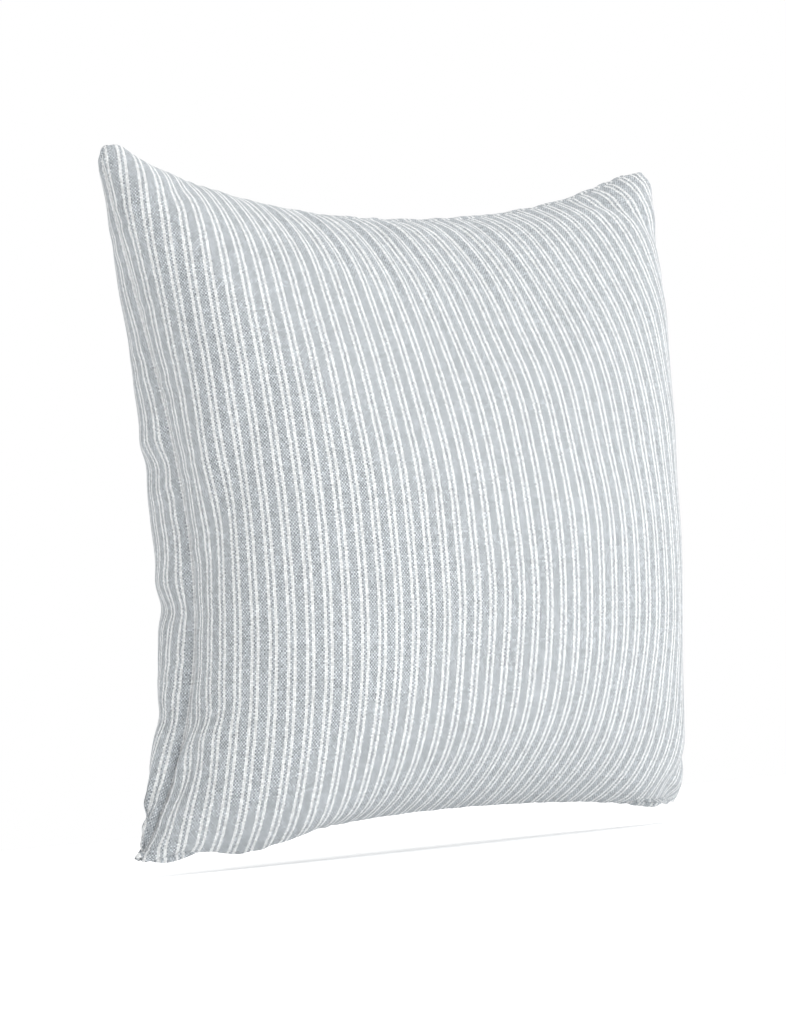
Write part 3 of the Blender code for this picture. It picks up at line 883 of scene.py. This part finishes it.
def zip_tape(side, material):
    low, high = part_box("zip_tape_" + side)
    inner, outer = sorted((abs(low.y), abs(high.y)))
    sign = -1 if side == "front" else 1
    along = np.linspace(-ZIP_HALF, ZIP_HALF, 181)
    across = np.linspace(inner, outer, 9)
    level = TAPE_LEVEL + TAPE_THICKNESS / 2
    surface = np.array([[tuple(on_arc(a, level, sign * y)) for y in across] for a in along])
    flat_x = np.broadcast_to(along[:, None], surface.shape[:2])
    flat_z = np.broadcast_to(across[None], surface.shape[:2])
    obj = sheet_mesh("zip_woven_tape_" + side, surface, flat_x, flat_z, False)
    obj.data.materials.append(material)
    thick = obj.modifiers.new("thickness", "SOLIDIFY")
    thick.thickness = TAPE_THICKNESS
    thick.offset = 0
    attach(obj, "cover")
    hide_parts("zip_tape_" + side)


def care_label(cloth, material):
    """A blank ribbon folded in half, both ends caught in the left seam, lying on the back panel."""
    low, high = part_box("care_label")
    heights = np.linspace(low.z, high.z, 8)
    surface = resample(cloth, np.linspace(-1, -0.8, 60), np.linspace(-1, 1, 200))[1]
    mid_row = surface[0]
    rows = []
    steps = np.linspace(LABEL_START, LABEL_START + LABEL_REACH, 10)
    for height in heights:
        column = int(np.argmin(np.abs(mid_row[:, 2] - height)))
        run = surface[:, column]
        walked = np.concatenate([[0], np.cumsum(np.linalg.norm(np.diff(run, axis=0), axis=1))])
        line = [np.array([np.interp(s, walked, run[:, c]) for c in range(3)]) for s in steps]
        under = [p + np.array([0.0060, -0.0020, 0]) for p in line]
        over = [p + np.array([0.0069, -0.0024, 0]) for p in line]
        tip = (under[-1] + over[-1]) / 2 + np.array([0.0003, 0.0003, 0])
        rows.append([*under, tip, *over[::-1]])
    surface = np.array(rows)
    surface[..., 2] = np.linspace(low.z, high.z, len(rows))[:, None]
    flat_x = np.broadcast_to(np.linspace(0, high.z - low.z, len(rows))[:, None], surface.shape[:2])
    flat_z = np.broadcast_to(np.linspace(0, 2 * LABEL_REACH, surface.shape[1])[None], surface.shape[:2])
    obj = sheet_mesh("folded_label", surface, flat_x, flat_z, False)
    obj.data.materials.append(material)
    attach(obj, "cover")
    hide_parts("care_label")


def stitched_seam(name, node, depth, material, closed):
    """A row of lockstitches that crosses to and fro between the two layers along a seam."""
    i, j = np.meshgrid(fine_places(FINE_CELLS), fine_places(FINE_CELLS), indexing="ij")
    line = rim_of(way_in(i, j, depth))
    if not closed:  # it leaves out the zip's opening, in the bottom seam where the rim starts
        bottom = np.arange(len(line)) < FINE_CELLS
        opening = np.flatnonzero(bottom & (np.abs(line[:, 0]) < SLIT_END + 0.004))
        line = np.roll(line, -opening[-1] - 1, 0)[: len(line) - len(opening)]
    else:
        line = np.concatenate([line, line[:1]])
    walked = np.concatenate([[0], np.cumsum(np.linalg.norm(np.diff(line, axis=0), axis=1))])
    steps = np.linspace(0, walked[-1], 4 * round(walked[-1] / STITCH), endpoint=not closed)
    line = np.stack([np.interp(steps, walked, line[:, axis]) for axis in range(3)], -1)
    line[:, 1] += STITCH_SWING * np.sin(np.arange(len(line)) * math.pi / 2)
    obj = wire(name, line, STITCH_RADIUS, material)
    obj.data.splines[0].use_cyclic_u = closed
    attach(obj, "cover")
    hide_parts(node)


def finish_nodes():
    """Materials, and softened edges, for the CAD parts that stay, and the two seams' stitches."""
    satin = metal()
    slider = ("zip_slider_body", "zip_slider_bail", "zip_pull_tab")
    stops = ("zip_top_stop_front", "zip_top_stop_back", "zip_bottom_stop")
    for name in slider + stops:
        node = frame["nodes"][name]
        node.data.materials.clear()
        node.data.materials.append(satin)
        edges = node.modifiers.new("soft_edges", "BEVEL")
        edges.width = 0.00012
        edges.segments = 3
        edges.limit_method = "ANGLE"
    sewing = thread("cover_thread", (0.72, 0.75, 0.77))
    plain = thread("insert_thread", (0.88, 0.88, 0.87))
    for name in ("zip_stitching_front", "zip_stitching_back"):
        node = frame["nodes"][name]
        node.data.materials.clear()
        node.data.materials.append(sewing)
    stitched_seam("cover_stitches", "cover_seam_thread", 0.0020, sewing, False)
    stitched_seam("insert_stitches", "insert_seam_thread", INSERT_DEPTH + 0.002, plain, True)


# The room

CAMERA_TURN = (38.74, -6.85, -5.51)  # degrees of yaw, pitch and roll
CAMERA_DISTANCE = 1.8218
CAMERA_LENS = 92.30
CAMERA_SHIFT = (-0.03016, -0.02089)


def key_light():
    """A soft light from the right, low in front of the pillow."""
    data = bpy.data.lights.new("key", "AREA")
    data.shape = "DISK"
    data.size = 1.2
    data.energy = 16
    obj = bpy.data.objects.new("key", data)
    bpy.context.scene.collection.objects.link(obj)
    obj.location = (1.3, -1.9, 0.25)
    towards_pillow = Vector((0, 0, HALF)) - obj.location
    obj.rotation_euler = towards_pillow.to_track_quat("-Z", "Y").to_euler()


def room():
    floor_net = Net("pale_floor", 0.9, 0.0, (0.93, 0.93, 0.93))
    place = floor_net.object_place()
    cloudy = floor_net.plus(0.5, floor_net.noise(place, 3, 2))
    floor_net.colour(floor_net.mix(cloudy, (0.925, 0.925, 0.925), (0.935, 0.935, 0.935)))
    floor_net.shader.inputs["Emission Color"].default_value = (1, 1, 1, 1)
    floor_net.shader.inputs["Emission Strength"].default_value = 0.22
    bpy.ops.mesh.primitive_plane_add(size=30, location=(0, 0, 0))
    floor = bpy.context.object
    floor.name = "floor"
    floor.data.materials.append(floor_net.material)
    world = bpy.data.worlds.new("studio")
    bpy.context.scene.world = world
    world.use_nodes = True
    # white all round but dimmer far to the left and behind
    nodes, links = world.node_tree.nodes, world.node_tree.links
    direction = nodes.new("ShaderNodeTexCoord")
    facing = nodes.new("ShaderNodeVectorMath")
    facing.operation = "DOT_PRODUCT"
    facing.inputs[1].default_value = (-0.78, 0.62, 0)
    links.new(direction.outputs["Generated"], facing.inputs[0])
    dimmed = nodes.new("ShaderNodeMapRange")
    dimmed.interpolation_type = "SMOOTHSTEP"
    dimmed.inputs["From Min"].default_value = 0.15
    dimmed.inputs["From Max"].default_value = 0.9
    dimmed.inputs["To Min"].default_value = 1.0
    dimmed.inputs["To Max"].default_value = 0.35
    links.new(facing.outputs["Value"], dimmed.inputs["Value"])
    background = nodes["Background"]
    background.inputs[0].default_value = (1, 1, 1, 1)
    links.new(dimmed.outputs["Result"], background.inputs[1])
    key_light()
    sun = bpy.data.lights.new("floor_fill", "SUN")
    sun.energy = 0.85
    sun.angle = math.radians(120)
    above = bpy.data.objects.new("floor_fill", sun)
    bpy.context.scene.collection.objects.link(above)
    bpy.context.scene.view_settings.view_transform = "Standard"


def camera():
    """Looks at the pillow's front from its left, from just above the floor."""
    yaw, pitch, roll = (math.radians(angle) for angle in CAMERA_TURN)
    forward = Vector((math.sin(yaw) * math.cos(pitch), math.cos(yaw) * math.cos(pitch), -math.sin(pitch)))
    right = Vector((math.cos(yaw), -math.sin(yaw), 0))
    up = right.cross(forward)
    across = right * math.cos(roll) + up * math.sin(roll)
    upward = up * math.cos(roll) - right * math.sin(roll)
    data = bpy.data.cameras.new("camera")
    data.sensor_width = 36
    data.lens = CAMERA_LENS
    data.shift_x, data.shift_y = CAMERA_SHIFT
    obj = bpy.data.objects.new("camera", data)
    bpy.context.scene.collection.objects.link(obj)
    turn = Matrix((across, upward, -forward)).transposed().to_4x4()
    obj.matrix_world = Matrix.Translation(Vector((0, 0, HALF)) - forward * CAMERA_DISTANCE) @ turn
    bpy.context.scene.camera = obj


camera()
room()
cloth = stuffed_cloth()
for side in ("front", "back"):
    cover_panel(cloth, side)
shell_material = insert_cloth()
stuffing([insert_panel(cloth, side, shell_material) for side in ("front", "back")])
coil_material, tape_material = nylon(), tape()
for side in ("front", "back"):
    zip_coil(side, coil_material)
    zip_tape(side, tape_material)
care_label(cloth, label_cloth())
finish_nodes()
